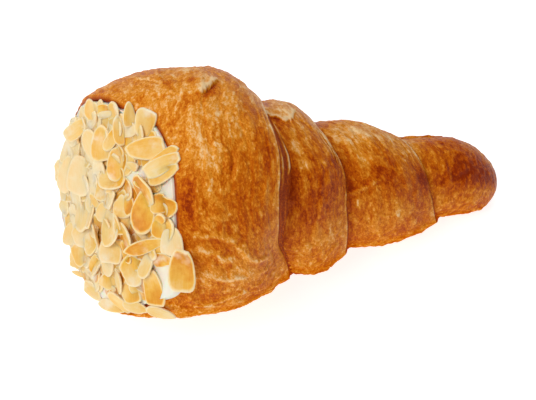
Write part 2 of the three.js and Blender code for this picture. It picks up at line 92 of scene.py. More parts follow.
# Patches baked darker or left paler, one of them a painted shadow: turn, place along the axis, reach in turns
# and in mm, change of tone
PATCHES = np.array((
    (0.065, 26, 0.045, 3, -0.16),
    (0.165, 17, 0.035, 6, -0.14),
    (0.15, 1, 0.05, 3, -0.22),
    (0.085, 5.5, 0.03, 3.5, 0.14),
    (0.11, 9, 0.025, 4, 0.12),
    (0.03, 12, 0.03, 5, 0.14),
    (0.21, 5, 0.03, 4, 0.1),
    (0.245, 20, 0.03, 8, 0.1),
    (1.13, 36, 0.05, 3.5, -0.3),
    (1.14, 47, 0.05, 6, -0.1),
    (1.063, 41.4, 0.018, 1.8, 0.34),
    (1.097, 42.2, 0.011, 1.6, 0.38),
    (1.094, 54.7, 0.02, 1.5, -0.2),
    (2.071, 58.1, 0.025, 1.5, -0.2),
    (-0.031, 4.4, 0.013, 1.2, -0.25),
    # painted shadow in the gap under the tail's lifted point
    (-0.028, 11, 0.006, 2.6, -0.4),
    (1.235, 48, 0.04, 6, 0.14),
    (2.087, 66.7, 0.035, 1.5, 0.28),
    (2.22, 79.7, 0.016, 2.4, 0.26),
    (2.183, 63.9, 0.013, 2, 0.22),
    (2.137, 89, 0.04, 2.6, -0.25),
    (2.232, 77, 0.04, 6, 0.12),
    (1.985, 72, 0.03, 8, 0.16),
    (3.08, 110, 0.06, 8, -0.06),
    (3.215, 108, 0.05, 9, 0.14),
))

# Thin raised folds of the crust, each from one place to another: turn and place along the axis
FOLDS = (
    (0.188, 2.7, 0.193, 13.1),
    (0.193, 13.1, 0.229, 21.1),
    (0.229, 21.1, 0.236, 28.6),
    (0.207, 4.4, 0.224, 15),
    (0.241, 7.3, 0.253, 14.1),
    (0.253, 14.1, 0.256, 22),
    (0.31, 9, 0.285, 24),
    (2.159, 60.2, 2.13, 71.8),
)

# Distance between neighbouring points of the crust, and numbers of rows and columns
GRAIN = Named(outer=0.46, inner=0.51, outer_rows=108, inner_rows=64, face_rows=40, under_rows=12,
              tip_rows=100, tip_columns=180)
# Depths on a cut face where the thin edges of the pastry's layers show
LAYERS = (0.1, 0.26, 0.44, 0.62, 0.82)

# Place on the second turn's edge where the layers have frayed, with painted shade in the gaps between them
FRAY = Named(turn=1.05, reach=0.04, raised=0.45, tone=0.95, gap=0.34)

# Patterns on the crust: sizes along and across the winding, step of the seed, octaves or share of cells
PATTERN = Named(
    warp_u=(7, 5, 1),
    warp_v=(6, 4, 2),
    swell=(22, 14, 0, 2),
    ribs=(9, 1.7, 10),
    bubbles=(6.2, 3.6, 20, 0.4),
    beads=(2, 1.6, 30, 0.55),
    patches=(11, 8, 40),
    streaks=(4.5, 0.9, 50),
    flecks=(2.4, 1.3, 60),
    burnt=(1.8, 1.4, 63),
    sheets=(12, 4.5, 80),
)
WARP = Named(u=2.2, v=1.3)
# Turns where the crust is wrinkled, where loose sheets lie on it and where its edge gets the strongest
# painted highlight
WRINKLED = Named(rise=(0.16, 0.26), fall=(0.42, 0.5))
SHEETED = Named(turn=-0.02, reach=0.1)
EDGE_HIGHLIGHT = Named(turn=0.03, reach=0.06)
# Forms beside the strip's edge: distance from it and reach in mm
HEM = Named(at=-0.1, reach=0.6)
RIDGES = Named(at=-2, reach=2.4, apart=1.4)
# Upward share over which the glaze sets in
GLAZED = (-0.5, 0.5)
# Heights in mm of the forms on the crust
RELIEF = Named(swell=0.35, ribs=0.2, bubbles=0.36, beads=0.2, sheet=0.24, crease=0.3, sunk=0.55, hem=0.3,
               lines=0.25, fold=0.4, face=0.1, fresh_face=0.35)
# Plain tone of crust and cut face, and changes of tone by the forms on them
TONE = Named(plain=0.44, patches=0.15, streaks=0.16, flecks=0.13, burnt=0.1, bubbles=0.12, beads=0.16,
             broken=0.2, crease=0.14, hem=0.32, lines=0.3, fold=0.29, under_edge=0.2, face=0.12, strand=0.22,
             fresh_strand=1.0)

# Closed tip, calm and plain at its end, and the crease on its near side, darkened with painted shade
TIP = Named(inset=0.5, pole=0.45, ahead=0.2, crowded=1.8, seam=(0.85, 1), calm=(0.2, 5), plain=0.45,
            even=(0.3, 6))
CREASE = Named(turn=0.134, sway=0.012, waves=0.8, wide=0.02, at=102, reach=7, depth=0.5, tone=0.12)

# Cream and almond flakes
DOME = Named(apex=-9.6, power=2.1)
CREAM = Named(columns=180, deep_rows=9, rings=46, share=(0.97, 0.02), skin=0.6)
LUMPS = Named(height=0.9, size=6, fade=(0.02, 0.15), seed=90)
# Every flake: height over the cream, rise by its tilt, and the farthest place of a spread one
FLAKE = Named(thick=0.65, bend=0.01, sides=28, golden=0.92, lift=0.3, rise=0.36, within=0.97)
# Flakes spread by a rule: share of the mouth, first turn, sizes, angles, warmth, squareness, scatter numbers
SCATTER = Named(count=66, cover=0.99, start=0, clear=4.6, length=(8.5, 12), broad=(0.62, 0.84), tilt=(2, 24),
                roll=(-20, 20), warmth=(0.15, 0.5), power=1.5, square=(0, 0.3), flat=False,
                draws=(1, 4, 2, 5, 3, 6, 7))
BED = Named(count=180, cover=0.93, start=0.31, length=(6, 10), broad=(0.6, 0.88), tilt=(-13, 13), roll=(0, 0),
            warmth=(0.24, 0.64), power=1, square=(0, 0.3), flat=True, draws=(21, 22, 24, 27, 23, 25, 26))
SHARDS = Named(count=36, cover=0.9, start=0.57, length=(6, 10.5), broad=(0.3, 0.5), tilt=(6, 26),
               roll=(-34, 34), warmth=(0.1, 0.8), power=1, square=(0.2, 0.2), flat=False,
               draws=(61, 62, 63, 64, 65, 66, 67))
CRUMBS = Named(count=22, share=(0.93, 0.98), turn=(0.47, 0.58), length=(1.6, 4), broad=(0.25, 0.5), tilt=30,
               roll=40, warmth=1.2, lift=0.6)
# Broken edges of a flake: how many, how far out, squareness that breaks at the ends, jags in mm
BREAKS = Named(most=3.4, reach=(0.62, 0.86), main_reach=(0.8, 0.95), square=0.25, jag=0.16)
# Flakes are painted paler on the far side, as washed out by light, and warmer on the near side, as painted
# shade; flatter on the far side
FLAKE_LIGHT_AND_SHADE = Named(far=0.5, far_over=(-0.2, 0.7), near=0.62, near_over=(0.3, 0.9))
FLATTER = Named(by=0.6, over=(0, 0.8))
# Places where the cream shows between the flakes: share of the rim radius, turn, reach in mm
BARE = np.array(((0.6, 0.088, 4.5), (0.88, 0.123, 2.2), (0.82, 0.26, 4), (0.93, 0.283, 4), (1.0, 0.3, 4)))
GOLDEN_ANGLE = 137.508 / 360
# Rings of a flake from its middle to its edge, as shares of its outline
FLAKE_RINGS = (0.35, 0.65, 0.88, 0.96, 1.0)

# Largest flakes: share of the rim radius, turn, spin, tilt, roll, length, width, warmth, squareness
MAIN_FLAKES = np.array((
    (0.99, 0.008, 22, -14, -17, 9, 6.2, 0.5, 0.6),
    (0.86, 0.054, -37, -21, -8, 13.3, 6.6, 0.62, 0.1),
    (0.97, 0.081, 177, 10, 13, 11.3, 4.2, 0.6, 0.3),
    (0.95, 0.092, 166, 15, 12, 12.7, 4.9, 0.55, 0.35),
    (0.94, 0.106, 164, 13, 9, 10.7, 4.1, 0.65, 0.35),
    (0.58, 0.944, -141, 2, 34, 11.3, 7.3, 0.5, 0.1),
    (0.49, 0.023, -134, -3, 35, 11.1, 5.9, 0.65, 0.1),
    (0.35, 0.06, 122, 10, -21, 11.8, 6.5, 0.6, 0.1),
    (0.71, 0.167, -150, 8, 21, 13.9, 7.3, 0.9, 0.05),
    (0.86, 0.15, -139, 2, 15, 6.1, 5.3, 1, 0.6),
    (0.87, 0.188, -148, 7, 15, 7.3, 6, 0.65, 0.1),
    (0.995, 0.204, -148, 6, 22, 9.4, 7.4, 0.15, 0.5),
    (0.75, 0.231, 140, 16, 22, 15, 4.3, 0.85, 0.1),
    (0.46, 0.34, -150, 10, 27, 10.7, 7.6, 0.35, 0.1),
    (0.72, 0.306, -158, 11, 16, 9.6, 8.7, 0.55, 0.2),
    (0.66, 0.458, -149, 12, 37, 6.6, 4.5, 0.7, 0.1),
    (0.94, 0.296, -144, 5, 12, 13.1, 6.7, 0.75, 0.3),
    (1.025, 0.234, -153, 2, -6, 15.6, 7.6, 1.2, 0.3),
    (0.8, 0.819, 167, 36, 22, 10.4, 4.9, 0.35, 0.3),
    (0.45, 0.719, -139, 0, 31, 13.2, 9.2, 0.12, 0.1),
    (0.75, 0.69, -149, 8, 38, 11.5, 6.5, 0.12, 0.1),
    (0.43, 0.167, -139, 2, 23, 7, 6.5, 0.35, 0.2),
    (0.45, 0.221, -169, 15, 19, 7.8, 5.8, 0.5, 0.2),
    (0.86, 0.352, -162, 9, 12, 7.2, 7.9, 0.65, 0.2),
    (0.91, 0.89, -137, 0, 42, 7, 4.2, 0.4, 0.1),
    (0.8, 0.981, -136, 3, 37, 9.5, 4, 0.5, 0.1),
    (0.99, 0.985, -146, 7, 34, 8, 3.6, 0.5, 0.1),
    (0.92, 0.933, 132, 20, 0, 5.7, 4.1, 0.75, 0.3),
    (1.07, 0.323, 25, -8, -16, 9.2, 4.6, 0.3, 0.1),
    (0.99, 0.358, 112, 14, -6, 10.6, 3.8, 0.4, 0.1),
    (0.99, 0.419, 112, 14, -7, 11.2, 3.9, 0.4, 0.1),
    (0.99, 0.475, 79, 13, -20, 8.1, 4.3, 0.3, 0.1),
    (0.99, 0.515, -90, -41, 35, 4.8, 1.6, 0.4, 0.1),
    (0.9, 0.533, -141, 6, 39, 6.7, 5, 0.25, 0.1),
    (0.82, 0.573, -148, 10, 38, 7.8, 5, 0.2, 0.1),
    (0.54, 0.54, -161, 15, 29, 8.7, 7, 0.3, 0.1),
    (0.14, 0.312, -148, 5, 37, 6.4, 4.6, 0.25, 0.1),
    (0.77, 0.525, 35, -7, -32, 8.2, 6.2, 0.4, 0.1),
    (0.76, 0.417, -164, 13, 20, 5.6, 6, 0.5, 0.1),
))

# Camera in the horn's frame, fitted to the photograph
VIEW = Named(azimuth=-22.5, elevation=44, position=(-111.98, -371.6, 371.31), focal_px=1852.8)
IMAGE_WIDTH_PX = 536
SENSOR_MM = 36

# Floor, sky and lamps, in metres and watts
FLOOR = Named(size=6, below=0.0002)
SKY_STRENGTH = 0.13
LIT_PLACE = (0, 0, 0.03)
LAMPS = (
    Named(name="key", position=(-0.5, -0.3, 0.65), size=0.5, power=3.9),
    Named(name="top", position=(0.05, 0.25, 0.75), size=0.6, power=2.4),
)


def clamp01(x):
    return np.clip(x, 0, 1)


def smooth(x):
    x = clamp01(x)
    return x * x * (3 - 2 * x)


def ramp(x, span):
    return smooth((x - span[0]) / (span[1] - span[0]))


def mix(a, b, t):
    return a + (b - a) * t


def bell(x, middle, width):
    return np.exp(-(((x - middle) / width) ** 2))


# Repeatable scatter value from 0 to 1, the same rule as in the solid
def scatter(i, k):
    x = np.sin(i * 12.9898 + k * 78.233) * 43758.5453
    return x - np.floor(x)


# Repeatable value from 0 to 1 for each cell of a grid
def cell_value(i, j, seed):
    n = (i.astype(np.int64) * 374761393 + j.astype(np.int64) * 668265263 + seed * 974634777) & 0xFFFFFFFF
    n = ((n ^ (n >> 13)) * 1274126177) & 0xFFFFFFFF
    return (n ^ (n >> 16)) / 2.0**32


def noise(u, v, seed):
    i, j = np.floor(u), np.floor(v)
    fu, fv = smooth(u - i), smooth(v - j)
    low = mix(cell_value(i, j, seed), cell_value(i + 1, j, seed), fu)
    high = mix(cell_value(i, j + 1, seed), cell_value(i + 1, j + 1, seed), fu)
    return 2 * mix(low, high, fv) - 1


def rough_noise(u, v, seed, octaves=3):
    total = sum(noise(u * 2**k, v * 2**k, seed + k) / 2**k for k in range(octaves))
    return total / (2 - 2.0 ** (1 - octaves))


# Round bumps of uneven size, one in some cells of a grid; height from 0 to 1
def blisters(u, v, seed, share):
    height = np.zeros(np.broadcast(u, v).shape)
    for di in (-1, 0, 1):
        for dj in (-1, 0, 1):
            i, j = np.floor(u) + di, np.floor(v) + dj
            size = 0.3 + 0.4 * cell_value(i, j, seed)
            du = (u - i - 0.15 - 0.7 * cell_value(i, j, seed + 1)) / size
            dv = (v - j - 0.15 - 0.7 * cell_value(i, j, seed + 2)) / size
            dome = clamp01(1 - du * du - dv * dv) * size / 0.7
            height = np.maximum(height, np.where(cell_value(i, j, seed + 3) < share, dome, 0))
    return height


# Angle round the axis as turns from the top, -0.5 to 0.5, towards the near side
def angle_of(w):
    return w - np.floor(w + 0.5)


def sag(s):
    return -SAG.depth * bell(s, SAG.at, SAG.reach) - SAG.tip_drop * ramp(s, (SAG.tip_from, LENGTH))


# Points at s along the axis, r away from it, w turns round it
def place(s, r, w):
    up = r * np.cos(w * TAU) + sag(s)
    near = r * np.sin(w * TAU)
    s, up, near = (x[..., None] for x in np.broadcast_arrays(s, up, near))
    return MOUTH_CENTRE + s * ALONG + up * UPWARD + near * NEARWARD


# Points flattened where they would reach under the surface that the horn lies on
def on_floor(points):
    points[..., 2] = np.maximum(points[..., 2], 0)
    return points


def nose_radius(s):
    t = clamp01((s - NOSE.bend) / (LENGTH - NOSE.bend))
    return NOSE.radius * (1 - t**NOSE.power) ** (1 / NOSE.round)


def base_radius(w):
    turns = np.floor(w + BASE.phase)
    part = w + BASE.phase - turns
    return np.maximum(BASE.radius - BASE.step * (turns + smooth((part - 0.5) / 0.5)), 0.5)


def edge_at(w):
    helix = EDGE.start + EDGE.pitch * w + EDGE.growth * w * w
    stray = sum(far * bell(w, turn, reach) for turn, reach, far in STRAYS)
    return helix + stray - EDGE.tilt * base_radius(w) * np.cos((w - EDGE.tilt_at) * TAU)


def crease_radius(w):
    base = base_radius(w)
    return np.where(w > NOSE.from_turn, np.maximum(base, nose_radius(edge_at(w))), base)


def rim_at(w):
    plane = RIM.mean + RIM.swing * np.cos((w - RIM.face) * TAU)
    wrapped = angle_of(w)
    hood = HOOD.reach * ramp(wrapped, HOOD.rise) * (1 - ramp(wrapped, HOOD.fall))
    return plane - hood - POUT.by * bell(wrapped, POUT.at, POUT.reach)


def rim_radius(w):
    return RIM.radius - RIM.dip * ((1 + np.cos((w - RIM.dip_at) * TAU)) / 2) ** 2


# Share of the large cut face where the outer turn ends on the near side
def face_share(w):
    return ramp(w, CUT_FACE.rise) * (1 - ramp(w, CUT_FACE.fall))


# Share by which the outer turn's edge has baked onto the turn below it
def merged(w):
    return MERGED.share * bell(w, MERGED.at, MERGED.reach)


def face_height(w):
    fade = (1 - ramp(w, (LIP.fade_from, STRIP.last))) * (1 - merged(w))
    return (LIP.height - LIP.taper * w) * fade + CUT_FACE.height * face_share(w)


def face_depth(w):
    return LIP.depth - LIP.taper * w + CUT_FACE.depth * face_share(w)


# Outer turn from the rim over the barrel to the shoulder, its start tucked in under its own end
def outer_profile(w, t):
    start = rim_at(w)
    end = edge_at(w) - face_depth(w)
    s = mix(start, end, t)
    tuck = TUCK.depth * (1 - ramp(w, TUCK.over))
    top = BARREL.radius - BARREL.sink * ramp(w, BARREL.sink_over) - tuck
    shoulder = crease_radius(w) + face_height(w) - tuck
    rise = clamp01((BARREL.at - s) / (BARREL.at - start)) ** BARREL.shoulder
    power = mix(*BARREL.roll_off, ramp(w, BARREL.roll_over))
    fall = clamp01((s - BARREL.at) / (end - BARREL.at)) ** power
    return s, top - (top - rim_radius(w)) * rise - (top - shoulder) * fall


# Smaller turn from under the larger one to its own shoulder
def inner_profile(w, t):
    start = edge_at(w - 1)
    end = edge_at(w) - face_depth(w)
    r0 = crease_radius(w - 1)
    r1 = crease_radius(w) + face_height(w)
    under = clamp01(1 - t / STRIP.tucked)
    u = clamp01((t - STRIP.tucked) / (1 - STRIP.tucked))
    s = mix(start, end, u) - TURN.tuck * under
    return s, r0 - (r0 - r1) * u**TURN.roll_off + TURN.bulge * 4 * u * (1 - u) - TURN.dip * under


def strip_surface(w, t):
    inside = ramp(w, STRIP.crossing)
    outer = outer_profile(w, t)
    inner = inner_profile(w, t)
    return mix(outer[0], inner[0], inside), mix(outer[1], inner[1], inside)


def cavity_radius(s):
    return CAVITY.mouth * clamp01(1 - np.maximum(s, 0) / CAVITY.end) ** CAVITY.power


# Radius of the strip's underside, flared towards the rim
def under_radius(w, s):
    rim = rim_at(w)
    flare = rim_radius(w) - CAVITY.wall
    out = clamp01((s - rim) / CAVITY.flare)
    return np.where(out < 1, mix(flare, cavity_radius(rim + CAVITY.flare), out), cavity_radius(s))


def outer_radius_at(w, s):
    start = rim_at(w)
    end = edge_at(w) - face_depth(w)
    return outer_profile(w, clamp01((s - start) / (end - start)))[1]


# Angle of the tail's cut end: along the top, slanting to the far side at both ends
def tail_end(s):
    tip = TAIL_END.tip * np.maximum(0, s - TAIL_END.tip_from)
    mouth = TAIL_END.mouth * np.maximum(0, TAIL_END.mouth_from - s)
    return (TAIL_END.angle - tip - mouth) / 360


def add_mesh(name, body, material):
    points, faces, attributes = body
    mesh = bpy.data.meshes.new(name)
    mesh.from_pydata((points * MM).tolist(), [], faces)
    for key, values in attributes.items():
        vector = values.ndim == 2
        layer = mesh.attributes.new(key, "FLOAT_VECTOR" if vector else "FLOAT", "POINT")
        layer.data.foreach_set("vector" if vector else "value", values.astype(np.float32).ravel())
    mesh.shade_smooth()
    mesh.materials.append(material)
    piece = bpy.data.objects.new(name, mesh)
    bpy.context.scene.collection.objects.link(piece)
    return piece


# Quads between neighbouring closed loops, with one face over each end
def loft_faces(columns, size):
    a = np.arange(columns - 1)[:, None] * size + np.arange(size)[None, :]
    b = np.roll(a, -1, axis=1)
    quads = np.stack((a, a + size, b + size, b), -1).reshape(-1, 4).tolist()
    last = (columns - 1) * size
    return quads + [list(range(size)), list(range(last + size - 1, last - 1, -1))]


# Faces of a closed round body: rings of points between two poles that come after them
def spun_faces(columns, rows):
    at = np.arange(columns)[:, None] * rows + np.arange(rows)[None, :]
    ahead = np.roll(at, -1, axis=0)
    quads = np.stack((at[:, :-1], ahead[:, :-1], ahead[:, 1:], at[:, 1:]), -1).reshape(-1, 4).tolist()
    first, last = columns * rows, columns * rows + 1
    ends = [[first, ahead[j, 0], at[j, 0]] for j in range(columns)]
    ends += [[last, at[j, -1], ahead[j, -1]] for j in range(columns)]
    return quads + [[int(k) for k in face] for face in ends]


# A pattern of the crust at a place and seed, made by a rule with the numbers listed for it
def pattern(numbers, at, rule=rough_noise):
    u, v, seed = at
    along, across, step, *more = numbers
    return rule(u / along, v / across, seed + step, *more)


# Uneven version of the two directions on the strip, so that no pattern on it runs straight
def warped(u, v, seed):
    at = (u, v, seed)
    return u + WARP.u * pattern(PATTERN.warp_u, at), v + WARP.v * pattern(PATTERN.warp_v, at)


# Thin sheets of pastry that have come loose: 1 on a sheet, and a line along its broken edge
def sheets(at):
    level = pattern(PATTERN.sheets, at) - 0.08
    return smooth(level / 0.06), bell(level, 0.02, 0.05)


# Creases across the winding, where the underside of the outer turn has wrinkled
def wrinkles(u, v, seed):
    bent = u + 4 * noise(v / 7, u / 11, seed + 95)
    line = 1 - np.abs(rough_noise(bent / 5, v / 15, seed + 90, 2)) * 4
    return clamp01(line) ** 2


# Relief in mm and baked tone of the crust, 0 dark to 1 pale: u runs along the winding, v across it
def crust_surface(u, v, angle, seed):
    at = (*warped(u, v, seed), seed)
    low = ramp(angle, WRINKLED.rise) * (1 - ramp(angle, WRINKLED.fall))
    loose = 0.25 + 0.75 * bell(angle, SHEETED.turn, SHEETED.reach)
    bubbles = pattern(PATTERN.bubbles, at, blisters)
    beads = pattern(PATTERN.beads, at, blisters)
    sheet, broken = sheets(at)
    creases = wrinkles(*at) * low

    swell = pattern(PATTERN.swell, at)
    ribs = pattern(PATTERN.ribs, at)
    height = RELIEF.swell * swell + RELIEF.ribs * ribs + RELIEF.bubbles * bubbles + RELIEF.beads * beads
    height = height + RELIEF.sheet * sheet * loose + RELIEF.crease * creases - RELIEF.sunk

    patches = TONE.patches * pattern(PATTERN.patches, at)
    streaks = TONE.streaks * pattern(PATTERN.streaks, at) * (1 - 0.7 * low)
    flecks = TONE.flecks * smooth((pattern(PATTERN.flecks, at) - 0.05) / 0.25)
    burnt = TONE.burnt * smooth((pattern(PATTERN.burnt, at) - 0.1) / 0.25)
    raised = TONE.bubbles * bubbles + TONE.beads * (beads - 0.15)
    raised = raised + TONE.broken * broken * loose + TONE.crease * creases
    return height, TONE.plain + patches + streaks + flecks - burnt + raised


# Tone by place: dark tip, paler top and golden underside as painted light, painted shade on the near side of
# the smaller turns, then single patches
def place_tone(s, w, seed):
    angle = angle_of(w)
    # painted highlight: the top is paler where the light from above falls
    top = 0.12 * bell(angle, -0.02, 0.09)
    # painted light: the underside is golden, as if lit from the pale floor below
    below = 0.04 * ramp(-np.cos(angle * TAU), (0.0, 0.8))
    # painted shade: mid-height on the near side of the smaller turns, in the outer turn's shadow
    shaded = -0.14 * bell(angle, 0.14, 0.07) * ramp(s, (28, 40))
    tip = -0.19 * ramp(s, (88, 106)) * (1 - 0.8 * ramp(angle, (0.12, 0.22)))
    total = top + below + shaded + tip
    uneven = 1 + 0.9 * rough_noise(s / 3, angle * 60, seed)
    for turn, at, wide, long, amount in PATCHES:
        total = total + amount * uneven * bell(w, turn, wide) * bell(s, at, long)
    return total


# Share of the thin raised folds at a place, from 0 to 1
def folds(w, s):
    total = 0 * w
    for w0, s0, w1, s1 in FOLDS:
        along = (s - s0) / (s1 - s0)
        line = mix(w0, w1, along) + 0.004 * rough_noise(s / 3, s * 0, 31)
        total = np.maximum(total, bell(w, line, 0.0035) * ((along > 0) & (along < 1)))
    return total


# Share of glaze, which was brushed on the upper side only
def glaze_share(w):
    return ramp(np.cos(w * TAU), GLAZED)


# A loose flap that lifts towards its free end: height, share from root to end, and painted shadow on the
# crust just past its end
def flap_relief(w, s, flap, end, lift):
    along = clamp01((s - flap.start) / (flap.end - flap.start))
    inside = ((s > flap.start) & (s < flap.end)) * np.sin(math.pi * mix(0.1, 0.94, along)) ** 0.5
    back = np.where(w < end, clamp01(1 - (end - w) / flap.span), 0) * inside
    crack = np.where(w >= end, bell(w, end, 0.014), 0) * inside
    return lift * back**1.5, back, crack


# Light line along the free end of a flap
def lit_edge(w, flap, end, back):
    return flap.lit * bell(w, end - flap.lit_back, flap.lit_reach) * (back > 0)


# How far a torn end strays, in turns
def torn(s):
    return 0.004 * rough_noise(s / 1.8, s * 0, 77)


# Height and change of tone of the strip's loose tail on the outer turn
def tail_flap(w, s):
    point = ramp(s, TAIL.narrow)
    end = tail_end(s) + torn(s)
    height, back, crack = flap_relief(w, s, TAIL, end, TAIL.lift + TAIL.point * point)
    lit = lit_edge(w, TAIL, end, back)
    # painted shadow on the crust beside the tail's lifted point
    return height, TAIL.pale * back**2 * mix(0.25, 2, point) + (lit - TAIL.crack * crack) * point


# Height and change of tone of the loose flake on top of the second turn
def ledge_flap(w, s):
    across = (2 * s - LEDGE.start - LEDGE.end) / (LEDGE.end - LEDGE.start)
    end = LEDGE.edge - LEDGE.bow * across**2 + 2 * torn(s)
    height, back, crack = flap_relief(w, s, LEDGE, end, LEDGE.lift)
    # painted shadow on the crust beside the ledge's lifted end
    return height, LEDGE.pale * back + lit_edge(w, LEDGE, end, back) - LEDGE.crack * crack


# Thin edges of the pastry's layers along a cut face: 1 on a line
def layer_lines(u, depth, seed):
    total = np.zeros(depth.shape)
    for k, at in enumerate(LAYERS):
        middle = at + 0.09 * rough_noise(u / 10, u * 0 + k, seed + k)
        strength = clamp01(0.65 + 0.7 * noise(u / 6, u * 0 + k, seed + 10 + k))
        total = np.maximum(total, bell(depth, middle, 0.04) * strength)
    return total


# Cross-sections of the strip at the angles w: the outside, then the layered cut face
def strip_sections(w, rows):
    t = np.linspace(0, 1, rows + 1)[None, :]
    s, r = strip_surface(w, t)
    f = np.linspace(0, 1, GRAIN.face_rows + 1)[None, 1:]
    plunge = CUT_FACE.drop * np.minimum(1, f / CUT_FACE.drop_over) + (1 - CUT_FACE.drop) * f
    foot = np.minimum(crease_radius(w) - CUT_FACE.sunk, r[:, -1:] - CUT_FACE.sunk)
    s = np.hstack((s, mix(s[:, -1:], edge_at(w) + CUT_FACE.under, f)))
    r = np.hstack((r, mix(r[:, -1:], foot, plunge)))
    return s, r


# Points of one stretch of the strip, evenly spaced: u in mm along the winding, v across it from its edge
def strip_grid(first, last, spacing, rows):
    fine = np.linspace(first, last, 3000)
    reach = np.cumsum(strip_surface(fine, 0.5)[1]) * TAU * (fine[1] - fine[0])
    columns = int((reach[-1] - reach[0]) / spacing)
    along = np.linspace(reach[0], reach[-1], columns + 1)
    w = np.interp(along, reach, fine)[:, None]
    s, r = strip_sections(w, rows)
    steps = np.hypot(np.diff(s, axis=1), np.diff(r, axis=1))
    v = np.hstack((np.zeros_like(w), np.cumsum(steps, axis=1)))
    v = v - v[:, rows : rows + 1]
    u = np.broadcast_to(along[:, None], v.shape)
    on_face = np.arange(s.shape[1])[None, :] > rows
    return Named(w=w, s=s, r=r, u=u, v=v, on_face=on_face, outer=last <= STRIP.split)


# Shares of the forms at the strip's edge: layers of the cut face, hem, fine ridges, frayed place and folds
def edge_forms(grid, seed):
    w, u, v = grid.w, grid.u, grid.v
    depth = clamp01(v / np.maximum(v[:, -1:], 0.1))
    # painted highlight on the strip's edge near the top of the horn, for the hem and the fine raised lines
    # beside it
    pale = bell(angle_of(w), EDGE_HIGHLIGHT.turn, EDGE_HIGHLIGHT.reach)
    beside = bell(v, RIDGES.at, RIDGES.reach)
    ridges = clamp01(np.sin(TAU * (v / RIDGES.apart + 0.5 * noise(u / 6, v / 3, seed + 73))))
    uneven = 0.65 + 0.35 * noise(u / 4, v * 0, seed + 71)
    return Named(
        pale=pale,
        fresh=(1 - ramp(w, (0.09, 0.16))) * face_share(w),
        crest=layer_lines(u, depth, seed + 70),
        hem=bell(v, HEM.at, HEM.reach) * uneven * (1 - merged(w)),
        ridges=ridges,
        lines=ridges * beside * pale,
        frayed=beside * bell(w, FRAY.turn, FRAY.reach),
        fold=folds(w + 0 * grid.s, grid.s),
    )


# Relief with the forms at the edge, and thin layers on the cut face
def strip_relief(grid, forms, height, loose):
    calm = clamp01((grid.v + 1.5) / -2.5)
    height = height * calm + loose + RELIEF.hem * forms.hem + RELIEF.lines * forms.lines
    height = height + RELIEF.fold * forms.fold + FRAY.raised * forms.frayed * forms.ridges
    return np.where(grid.on_face, (RELIEF.face + RELIEF.fresh_face * forms.fresh) * forms.crest, height)


# Tone with the place on the horn and the forms at the edge, with painted shade under a larger turn's edge
def strip_tone(grid, forms, tone, loose_tone, seed):
    # the hem's pale line is a painted highlight along the raised edge, stronger near the top
    bright = 1 + (1 if grid.outer else 2) * forms.pale
    tone = tone + place_tone(grid.s, grid.w, seed) + TONE.hem * clamp01(forms.hem) * bright
    tone = tone + TONE.lines * forms.lines + loose_tone + TONE.fold * forms.fold
    # painted shade between the frayed layers
    tone = tone + forms.frayed * (FRAY.tone * forms.ridges - FRAY.gap)
    # the cut face's dark base is painted shade of its recess; the edges of its layers are paler
    face = TONE.face + (TONE.strand + TONE.fresh_strand * forms.fresh) * forms.crest
    tone = np.where(grid.on_face, face, tone)
    if grid.outer:
        return tone
    # painted shade on the smaller turns just under the larger turn's edge
    below = bell(grid.s - edge_at(grid.w - 1), 0, 2.2) * (1 - merged(grid.w - 1))
    return tone - TONE.under_edge * below * (~grid.on_face)


# Places s and r of the outside, moved out square to it by a height
def raised_side(grid, height):
    ds = np.gradient(grid.s, axis=1)
    dr = np.gradient(grid.r, axis=1)
    size = np.maximum(np.hypot(ds, dr), 1e-6)
    return grid.s - dr / size * height, grid.r + ds / size * height


# Places s and r of the inside, from the edge back to the start
def inner_side(grid):
    pick = np.linspace(grid.s.shape[1] - 1, 0, GRAIN.under_rows).astype(int)
    s = grid.s[:, pick]
    r = np.minimum(under_radius(grid.w, s), grid.r[:, pick] - CAVITY.below)
    return s, np.maximum(CAVITY.least, r)


# One stretch of the wound strip as a closed body with its relief and colour values
def strip_piece(first, last, spacing, rows, seed):
    grid = strip_grid(first, last, spacing, rows)
    forms = edge_forms(grid, seed)
    flap = tail_flap if grid.outer else ledge_flap
    loose, loose_tone = flap(grid.w + 0 * grid.s, grid.s)
    height, tone = crust_surface(grid.u, grid.v, angle_of(grid.w), seed)
    height = strip_relief(grid, forms, height, loose)
    tone = strip_tone(grid, forms, tone, loose_tone, seed)
    s, r = (np.hstack(sides) for sides in zip(raised_side(grid, height), inner_side(grid)))
    points = on_floor(place(s, r, grid.w))
    columns, size = s.shape
    pad = [(0, 0), (0, GRAIN.under_rows)]
    u, v, tone = (np.pad(array, pad, "edge") for array in (grid.u, grid.v, tone))
    strip = np.stack((u, v, np.full(s.shape, seed * 9.0)), -1)
    values = {
        "strip": strip.reshape(-1, 3),
        "tone": tone.ravel(),
        "glaze": np.repeat(glaze_share(grid.w), size),
    }
    return points.reshape(-1, 3), loft_faces(columns, size), values


